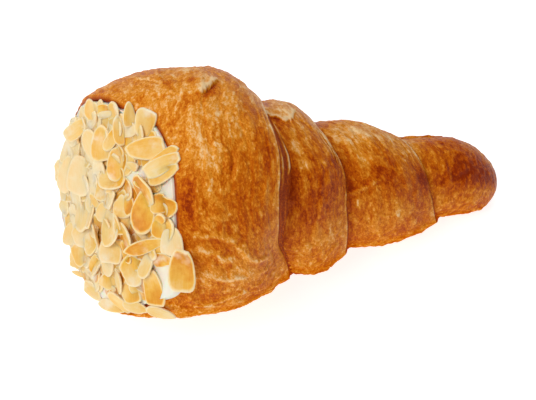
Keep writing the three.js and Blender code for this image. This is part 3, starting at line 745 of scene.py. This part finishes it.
# Closed tip of the horn, where the strip's first turn is rolled to a point
def nose_piece(columns, rows, seed):
    w = np.arange(columns)[:, None] / columns
    t = np.linspace(0, 1, rows)[None, :]
    s = mix(NOSE.start, LENGTH - TIP.inset, 1 - (1 - t) ** TIP.crowded)
    u = w * TAU * NOSE.radius
    angle = angle_of(w) + 0 * s
    here = crust_surface(u + 0 * s, s + 0 * u, angle, seed)
    ahead = crust_surface(u - TAU * NOSE.radius + 0 * s, s + 0 * u, angle, seed)
    height, tone = (mix(a, b, ramp(w, TIP.seam)) for a, b in zip(here, ahead))
    line = CREASE.turn + CREASE.sway * np.sin(s * CREASE.waves)
    crease = bell(w, line, CREASE.wide) * bell(s, CREASE.at, CREASE.reach)
    height = (height - CREASE.depth * crease) * ramp(LENGTH - s, TIP.calm)
    tone = mix(TIP.plain, tone, ramp(LENGTH - s, TIP.even))
    # painted shade in the crease on the tip's near side
    tone = tone + place_tone(s, w + 3, seed) - CREASE.tone * crease
    radius = nose_radius(s + TIP.ahead) + height
    points = on_floor(place(s + 0 * w, radius, w))
    poles = place(np.array((NOSE.start, LENGTH - TIP.pole)), np.zeros(2), np.zeros(2))
    round_it = np.broadcast_arrays(radius * np.sin(w * TAU), s, radius * np.cos(w * TAU))
    strip = np.stack(round_it, -1).reshape(-1, 3)
    values = {
        "strip": np.vstack((strip, strip[:2])),
        "tone": np.append(tone.ravel(), tone[0, [0, -1]]),
        "glaze": np.append(np.repeat(glaze_share(w), rows), (1, 1)),
    }
    return np.vstack((points.reshape(-1, 3), poles)), spun_faces(columns, rows), values


def joined(bodies):
    points, faces, values, start = [], [], {}, 0
    for body_points, body_faces, body_values in bodies:
        points.append(body_points)
        faces += [[k + start for k in face] for face in body_faces]
        start += len(body_points)
        for key, array in body_values.items():
            values.setdefault(key, []).append(array)
    return np.vstack(points), faces, {key: np.concatenate(arrays) for key, arrays in values.items()}


# Point of the cream's domed front at a share of the rim radius and an angle, past 1 outside the rim
def dome_point(share, w):
    rim = rim_at(w)
    over = rim + (share - 1) * SPILL.stretch
    s = DOME.apex + (rim - DOME.apex) * np.minimum(share, 1) ** DOME.power
    r = share * (rim_radius(w) - CAVITY.wall - GAP)
    outside = share > 1
    skin = outer_radius_at(w, over) + SPILL.thick * spill_share(w)
    return np.where(outside, over, s), np.where(outside, skin, r)


def dome_place(share, w):
    s, r = dome_point(share, w)
    return place(s, r, w)


def unit(v):
    return v / np.linalg.norm(v, axis=-1, keepdims=True)


def dome_normal(share, w):
    outward = dome_place(share + 0.02, w) - dome_place(share - 0.02, w)
    around = dome_place(share, w + 0.01) - dome_place(share, w - 0.01)
    normal = unit(np.cross(outward, around))
    return np.where((normal @ ALONG)[..., None] > 0, -normal, normal)


# How far the cream runs over the rim at an angle, from 0 to 1
def spill_share(w):
    wrapped = w - np.floor(w)
    return ramp(wrapped, SPILL.rise) * (1 - ramp(wrapped, SPILL.fall))


# Cream: through the hollow of the horn, over the rim at the lower right and up to a soft domed front
def cream_piece():
    w = np.arange(CREAM.columns)[:, None] / CREAM.columns
    rim = rim_at(w)
    flare = rim_radius(w) - CAVITY.wall - SLACK
    spill = spill_share(w)
    deep = np.linspace(0, 1, CREAM.deep_rows)[None, :]
    s = mix(CAVITY.end - 4, rim + CAVITY.flare, deep)
    r = cavity_radius(s) - SLACK
    edge = rim - 0.4 + spill * SPILL.reach
    outside = outer_radius_at(w, edge)
    collar = (
        (rim + 0.3, flare),
        (rim - 0.1, mix(flare, rim_radius(w) + CREAM.skin, spill)),
        (edge, mix(flare, outside + CREAM.skin, spill)),
        (edge - 0.1, mix(flare, outside + SPILL.thick, spill)),
        (rim - 0.6, mix(flare, rim_radius(w) + SPILL.thick, spill)),
    )
    share = np.linspace(*CREAM.share, CREAM.rings)[None, :]
    front = dome_point(share, w + 0 * share)
    up, near = front[1] * np.cos(w * TAU), front[1] * np.sin(w * TAU)
    lumps = LUMPS.height * rough_noise(up / LUMPS.size, near / LUMPS.size, LUMPS.seed)
    s = np.hstack((s, *(c[0] for c in collar), front[0] - lumps * ramp(1 - share, LUMPS.fade)))
    r = np.hstack((r, *(c[1] for c in collar), front[1]))
    points = place(s, r, w)
    poles = place(np.array((CAVITY.end - GAP * 4, DOME.apex)), np.zeros(2), np.zeros(2))
    faces = [face[::-1] for face in spun_faces(*s.shape)]
    return np.vstack((points.reshape(-1, 3), poles)), faces, {}


# painted light and shade on the flakes: paler on the far side, warmer on the near side
def flake_light_and_shade(w):
    near = math.sin(w * TAU)
    return 1 - FLAKE_LIGHT_AND_SHADE.far * ramp(-near, FLAKE_LIGHT_AND_SHADE.far_over) + FLAKE_LIGHT_AND_SHADE.near * ramp(near, FLAKE_LIGHT_AND_SHADE.near_over)


def flatter(w):
    return 1 - FLATTER.by * ramp(-math.sin(w * TAU), FLATTER.over)


# Height of a flake's middle over the cream: its lower edge is sunk in
def flake_lift(length, width, tilt, roll):
    rise = np.hypot(length * np.sin(np.radians(tilt)), width * np.sin(np.radians(roll)))
    return FLAKE.lift + FLAKE.rise * rise


# Whether a place on the cream lies farther from each of some points than its reach
def is_clear(points, reach, share, w):
    here = dome_place(np.array(share), np.array(w))
    return np.all(np.linalg.norm(points - here, axis=1) > reach)


# Flakes of one kind, spread evenly by the golden angle and kept clear of some points
def spread_flakes(kind, points, reach):
    rows = []
    for i in range(kind.count):
        share = kind.cover * math.sqrt((i + 0.5) / kind.count)
        w = i * GOLDEN_ANGLE + kind.start
        if share < FLAKE.within and is_clear(points, reach, share, w):
            long, broad, lean, side, spin, warm, square = (scatter(i, number) for number in kind.draws)
            length = mix(*kind.length, long)
            width = length * mix(*kind.broad, broad)
            level = 1 if kind.flat else flatter(w)
            tilt = mix(*kind.tilt, lean) * level
            roll = mix(*kind.roll, side) * level
            warmth = (kind.warmth[0] + kind.warmth[1] * warm**kind.power) * flake_light_and_shade(w)
            lift = FLAKE.lift if kind.flat else flake_lift(length, width, tilt, roll)
            rows.append((share, w, spin * 360, tilt, roll, length, width, warmth,
                         mix(*kind.square, square), lift))
    return rows


# Crumbs at the lower left of the mouth
def crumbs():
    rows = []
    for i in range(CRUMBS.count):
        share = mix(*CRUMBS.share, scatter(i, 32))
        w = mix(*CRUMBS.turn, scatter(i, 33))
        length = mix(*CRUMBS.length, scatter(i, 31))
        width = length * mix(*CRUMBS.broad, scatter(i, 37))
        tilt = CRUMBS.tilt * scatter(i, 35)
        roll = CRUMBS.roll * scatter(i, 36) - CRUMBS.roll / 2
        warmth = CRUMBS.warmth * scatter(i, 38)
        rows.append((share, w, scatter(i, 34) * 360, tilt, roll, length, width, warmth, 0, CRUMBS.lift))
    return rows


# Lie of every flake, shards anywhere: the columns of the main ones, then the height over the cream
def flake_plan():
    main = [(*row, flake_lift(row[5], row[6], row[3], row[4])) for row in MAIN_FLAKES]
    bare = dome_place(BARE[:, 0], BARE[:, 1])
    taken = np.vstack((dome_place(MAIN_FLAKES[:, 0], MAIN_FLAKES[:, 1]), bare))
    reach = np.append(np.full(len(MAIN_FLAKES), SCATTER.clear), BARE[:, 2])
    scattered = spread_flakes(SCATTER, taken, reach)
    bed = spread_flakes(BED, bare, BARE[:, 2])
    shards = spread_flakes(SHARDS, bare[:0], BARE[:0, 2])
    return np.array(main + scattered + bed + shards + crumbs())


def turned(v, axis, degrees):
    a = np.radians(degrees)[:, None]
    across = np.sum(v * axis, -1, keepdims=True)
    return v * np.cos(a) + np.cross(axis, v) * np.sin(a) + axis * across * (1 - np.cos(a))


# Straight breaks in a flake's outline: points past a break are brought back to it
def broken_outline(x, y, length, width, square, number):
    turns = [scatter(number, 40 + k) for k in range(int(scatter(number, 39) * BREAKS.most))]
    reach = BREAKS.reach
    if number < len(MAIN_FLAKES):
        ends = [0.12 * scatter(number, 40) - 0.06, 0.45 + 0.1 * scatter(number, 41)]
        turns = ends if square > BREAKS.square else [scatter(number, 42), scatter(number, 43)]
        reach = BREAKS.main_reach
    for k, turn in enumerate(turns):
        nx, ny = math.cos(turn * TAU), math.sin(turn * TAU)
        limit = math.hypot(nx * length, ny * width) / 2 * mix(*reach, scatter(number, 50 + k))
        jag = BREAKS.jag * noise((x * ny - y * nx) * 1.3, 0 * x + number, 6)
        past = np.maximum(x * nx + y * ny - limit - jag, 0)
        x, y = x - past * nx, y - past * ny
    return x, y


# One almond flake in its own axes: a thin bent slice with crisp edges, pointed at one end
def flake_shape(length, width, square, number, sides=FLAKE.sides):
    a = np.arange(sides)[None, :] / sides * TAU
    power = 1 - 0.55 * square
    cos, sin = np.cos(a), np.sin(a)
    outline = 1 + 0.08 * (noise(a / TAU * 8, 0 * a + number, 5) - 0.6) * np.sin(a / 2) ** 2
    x0 = length / 2 * np.sign(cos) * np.abs(cos) ** power * outline
    y0 = width / 2 * np.sign(sin) * np.abs(sin) ** power * (1 - 0.3 * cos) * outline
    x0, y0 = broken_outline(x0, y0, length, width, square, number)
    rho = np.array(FLAKE_RINGS)[:, None]
    x, y = x0 * rho, y0 * rho
    curl = FLAKE.bend * (0.5 + 1.6 * scatter(number, 11))
    twist = 0.012 * (scatter(number, 12) - 0.5)
    bow = curl * (0.7 * x * x + 1.5 * y * y) + twist * x * y
    half = FLAKE.thick / 2 * np.sqrt(clamp01(1 - rho**16)) + 0.05
    top = np.stack((x, y, bow + half), -1).reshape(-1, 3)
    bottom = np.stack((x, y, bow - half), -1).reshape(-1, 3)
    poles = np.array(((0, 0, FLAKE.thick / 2), (0, 0, -FLAKE.thick / 2)))
    reach = np.broadcast_to(rho, x.shape).ravel()
    return np.vstack((top, bottom, poles)), np.append(np.tile(reach, 2), (0, 0))


def flake_faces(sides=FLAKE.sides):
    rings = len(FLAKE_RINGS)
    size = sides * rings
    at = np.arange(size).reshape(rings, sides)
    ahead = np.roll(at, -1, axis=1)
    top = np.stack((at[:-1], at[1:], ahead[1:], ahead[:-1]), -1).reshape(-1, 4)
    bottom = top[:, ::-1] + size
    side = np.stack((at[-1], at[-1] + size, ahead[-1] + size, ahead[-1]), -1)
    faces = np.vstack((top, bottom, side)).tolist()
    first, last = 2 * size, 2 * size + 1
    faces += [[first, int(a), int(b)] for a, b in zip(at[0], ahead[0])]
    return faces + [[last, int(b) + size, int(a) + size] for a, b in zip(at[0], ahead[0])]


# All almond flakes as one mesh, each with its own warmth
def flakes_piece():
    plan = flake_plan()
    share, w, spin, tilt, roll, length, width, warmth, square, lift = plan.T
    normal = dome_normal(share, w)
    centre = dome_place(share, w) + normal * lift[:, None]
    level = turned(unit(np.cross(NEARWARD, normal)), normal, spin)
    hinge = np.cross(normal, level)
    axis_x = turned(level, hinge, tilt)
    axis_z = turned(turned(normal, hinge, tilt), axis_x, roll)
    axis_y = np.cross(axis_z, axis_x)
    faces = flake_faces()
    bodies = []
    for k in range(len(plan)):
        shape, reach = flake_shape(length[k], width[k], square[k], k)
        points = centre[k] + shape @ np.stack((axis_x[k], axis_y[k], axis_z[k]))
        local = shape + np.array((k * 17.0, k * 5.0, 0))
        lean = scatter(k, 70) * TAU
        sweep = (shape[:, 0] * math.cos(lean) + shape[:, 1] * math.sin(lean)) / length[k] * 2
        warmths = np.full(len(shape), min(warmth[k], FLAKE.golden))
        values = {"reach": reach, "sweep": sweep, "warmth": warmths, "grain": local}
        bodies.append((points, faces, values))
    return joined(bodies)


# Colour as seen on a screen, 0 to 255, to the linear values that a shader takes
def colour(red, green, blue):
    shares = np.array((red, green, blue)) / 255
    linear = np.where(shares <= 0.04045, shares / 12.92, ((shares + 0.055) / 1.055) ** 2.4)
    return (*linear.tolist(), 1)


class Shader:
    """Short ways to add nodes to a new material"""

    def __init__(self, name):
        self.material = bpy.data.materials.new(name)
        self.material.use_nodes = True
        self.tree = self.material.node_tree
        self.surface = self.tree.nodes["Principled BSDF"]

    def node(self, kind, inputs=None, **settings):
        made = self.tree.nodes.new(kind)
        for key, value in settings.items():
            setattr(made, key, value)
        for key, value in (inputs or {}).items():
            self.feed(made.inputs[key], value)
        return made

    def feed(self, target, value):
        if isinstance(value, bpy.types.NodeSocket):
            self.tree.links.new(value, target)
        else:
            target.default_value = value

    def attribute(self, name, output="Fac"):
        return self.node("ShaderNodeAttribute", attribute_name=name).outputs[output]

    def here(self):
        return self.node("ShaderNodeTexCoord").outputs["Object"]

    def noise(self, vector, scale, detail=3.0, roughness=0.55):
        inputs = {"Vector": vector, "Scale": scale, "Detail": detail, "Roughness": roughness}
        return self.node("ShaderNodeTexNoise", inputs).outputs["Fac"]

    def stretch(self, vector, scale):
        return self.node("ShaderNodeMapping", {"Vector": vector, "Scale": scale}).outputs["Vector"]

    def math(self, operation, a, b, third=0.0):
        return self.node("ShaderNodeMath", {0: a, 1: b, 2: third}, operation=operation).outputs[0]

    def span(self, value, low, high):
        inputs = {"Value": value, "From Min": low, "From Max": high}
        return self.node("ShaderNodeMapRange", inputs, interpolation_type="SMOOTHSTEP").outputs[0]

    def between(self, value, low, high):
        return self.node("ShaderNodeMapRange", {"Value": value, "To Min": low, "To Max": high}).outputs[0]

    def ramp(self, factor, stops):
        made = self.node("ShaderNodeValToRGB", {"Fac": factor})
        elements = made.color_ramp.elements
        for k, (position, tint) in enumerate(stops):
            element = elements[k] if k < 2 else elements.new(position)
            element.position = position
            element.color = tint
        return made.outputs["Color"]

    def mix(self, factor, a, b):
        return self.node("ShaderNodeMix", {0: factor, 6: a, 7: b}, data_type="RGBA").outputs[2]

    def bump(self, height, strength, distance):
        made = self.node("ShaderNodeBump", {"Height": height, "Strength": strength, "Distance": distance})
        self.feed(self.surface.inputs["Normal"], made.outputs["Normal"])

    def set(self, **sockets):
        for key, value in sockets.items():
            self.feed(self.surface.inputs[key.replace("_", " ")], value)


# Glazed crust: baked tone with fine flecks and streaks along the winding
def crust_material():
    sh = Shader("glazed crust")
    strip = sh.attribute("strip", "Vector")
    streak = sh.noise(sh.stretch(strip, (0.25, 1.0, 1)), 1.0, 5.0, 0.62)
    fleck = sh.noise(sh.stretch(strip, (0.7, 0.9, 1)), 1.0, 5.0, 0.65)
    grain = sh.noise(sh.stretch(strip, (1.4, 1.7, 1)), 1.0, 5.0, 0.75)
    tone = sh.math("MULTIPLY_ADD", streak, 0.24, -0.12)
    tone = sh.math("ADD", sh.attribute("tone"), tone)
    tone = sh.math("ADD", sh.math("MULTIPLY_ADD", sh.span(fleck, 0.44, 0.64), 0.2, -0.08), tone)
    tone = sh.math("ADD", sh.math("MULTIPLY_ADD", grain, 1.1, -0.55), tone)
    base = sh.ramp(tone, (
        (0.0, colour(144, 43, 3)),
        (0.2, colour(186, 74, 4)),
        (0.42, colour(212, 110, 8)),
        (0.68, colour(239, 156, 46)),
        (1.0, colour(255, 214, 158)),
    ))
    sh.bump(grain, 0.5, 0.0005)
    rough = sh.between(fleck, 0.26, 0.56)
    gloss = sh.between(sh.attribute("glaze"), 0.0, 0.12)
    sh.set(Base_Color=base, Roughness=rough, Specular_IOR_Level=gloss, Specular_Tint=colour(255, 215, 160))
    return sh.material


def cream_material():
    sh = Shader("soft cream")
    soft = sh.noise(sh.here(), 160.0, 3.0)
    base = sh.ramp(soft, ((0.3, colour(240, 228, 206)), (0.7, colour(250, 242, 226))))
    sh.bump(soft, 0.25, 0.0008)
    sh.set(Base_Color=base, Roughness=0.45, Subsurface_Weight=0.4, Subsurface_Scale=0.002)
    return sh.material


# Toasted almond: ivory rim, warm translucent middle
def almond_material():
    sh = Shader("toasted almond")
    grain = sh.attribute("grain", "Vector")
    cloud = sh.noise(grain, 0.35, 3.0)
    fibre = sh.noise(sh.stretch(grain, (0.4, 2.2, 1)), 1.0, 3.0)
    uneven = sh.math("ADD", sh.attribute("reach"), sh.math("MULTIPLY_ADD", cloud, 0.24, -0.12))
    middle = sh.span(uneven, 0.95, 0.8)
    sweep = sh.math("ADD", sh.attribute("sweep"), sh.math("MULTIPLY_ADD", cloud, 1.6, -0.8))
    toasted = sh.math("MULTIPLY_ADD", sh.span(sweep, -0.8, 0.8), 0.6, 0.4)
    warm = sh.math("MULTIPLY", sh.math("MULTIPLY_ADD", middle, 0.88, 0.12), sh.attribute("warmth"))
    warm = sh.math("MULTIPLY", warm, toasted)
    warm = sh.math("ADD", warm, sh.math("MULTIPLY_ADD", fibre, 0.24, -0.12))
    base = sh.ramp(warm, (
        (0.0, colour(248, 225, 182)),
        (0.25, colour(246, 209, 134)),
        (0.5, colour(241, 184, 70)),
        (0.8, colour(228, 146, 22)),
        (1.0, colour(206, 138, 30)),
    ))
    smear = sh.noise(sh.here(), 190.0, 3.0)
    smear = sh.math("MULTIPLY", sh.span(smear, 0.52, 0.8), 0.8)
    base = sh.mix(smear, base, colour(250, 236, 212))
    sh.bump(fibre, 0.2, 0.0003)
    sh.set(Base_Color=base, Roughness=0.42, Specular_IOR_Level=0.3, Subsurface_Weight=0.35,
           Subsurface_Scale=0.0009, Subsurface_Radius=(1.0, 0.8, 0.55))
    return sh.material


def floor_material():
    sh = Shader("pale floor")
    spot = sh.noise(sh.here(), 30.0)
    base = sh.ramp(spot, ((0.4, colour(186, 186, 186)), (0.6, colour(190, 190, 190))))
    sh.set(Base_Color=base, Roughness=0.9, Emission_Color=colour(255, 255, 255), Emission_Strength=0.85)
    return sh.material


def make_crust():
    material = crust_material()
    outer = strip_piece(STRIP.first, STRIP.split, GRAIN.outer, GRAIN.outer_rows, 1)
    inner = strip_piece(STRIP.split, STRIP.last, GRAIN.inner, GRAIN.inner_rows, 2)
    nose = nose_piece(GRAIN.tip_columns, GRAIN.tip_rows, 3)
    turns = joined((inner, nose))
    return [add_mesh("outer_turn", outer, material), add_mesh("inner_turns", turns, material)]


def dress(piece, node):
    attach(piece, "root")
    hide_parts(node)


def make_stage():
    bpy.ops.mesh.primitive_plane_add(size=FLOOR.size, location=(0, 0, -FLOOR.below))
    floor = bpy.context.object
    floor.name = "floor"
    floor.data.materials.append(floor_material())


def add_lamp(lamp):
    data = bpy.data.lights.new(lamp.name, "AREA")
    data.shape = "DISK"
    data.size = lamp.size
    data.energy = lamp.power
    made = bpy.data.objects.new(lamp.name, data)
    made.location = lamp.position
    aim = Vector(LIT_PLACE) - Vector(lamp.position)
    made.rotation_euler = aim.to_track_quat("-Z", "Y").to_euler()
    bpy.context.scene.collection.objects.link(made)


def make_light():
    world = bpy.data.worlds.new("studio")
    bpy.context.scene.world = world
    world.use_nodes = True
    background = world.node_tree.nodes["Background"]
    background.inputs["Color"].default_value = (1, 1, 1, 1)
    background.inputs["Strength"].default_value = SKY_STRENGTH
    for lamp in LAMPS:
        add_lamp(lamp)
    bpy.context.scene.view_settings.view_transform = "Standard"


def make_camera():
    data = bpy.data.cameras.new("camera")
    data.sensor_width = SENSOR_MM
    data.lens = VIEW.focal_px / IMAGE_WIDTH_PX * SENSOR_MM
    data.clip_start = 0.01
    camera = bpy.data.objects.new("camera", data)
    azimuth, elevation = math.radians(VIEW.azimuth), math.radians(VIEW.elevation)
    level = math.cos(elevation)
    back = Vector((math.sin(azimuth) * level, -math.cos(azimuth) * level, math.sin(elevation)))
    camera.location = Vector((MOUTH_CENTRE + np.array(VIEW.position)) * MM)
    camera.rotation_euler = (-back).to_track_quat("-Z", "Y").to_euler()
    bpy.context.scene.collection.objects.link(camera)
    bpy.context.scene.camera = camera


make_camera()
make_light()
make_stage()
for crust in make_crust():
    dress(crust, "pastry")
dress(add_mesh("cream_filling", cream_piece(), cream_material()), "cream")
dress(add_mesh("almond_flakes", flakes_piece(), almond_material()), "cream")
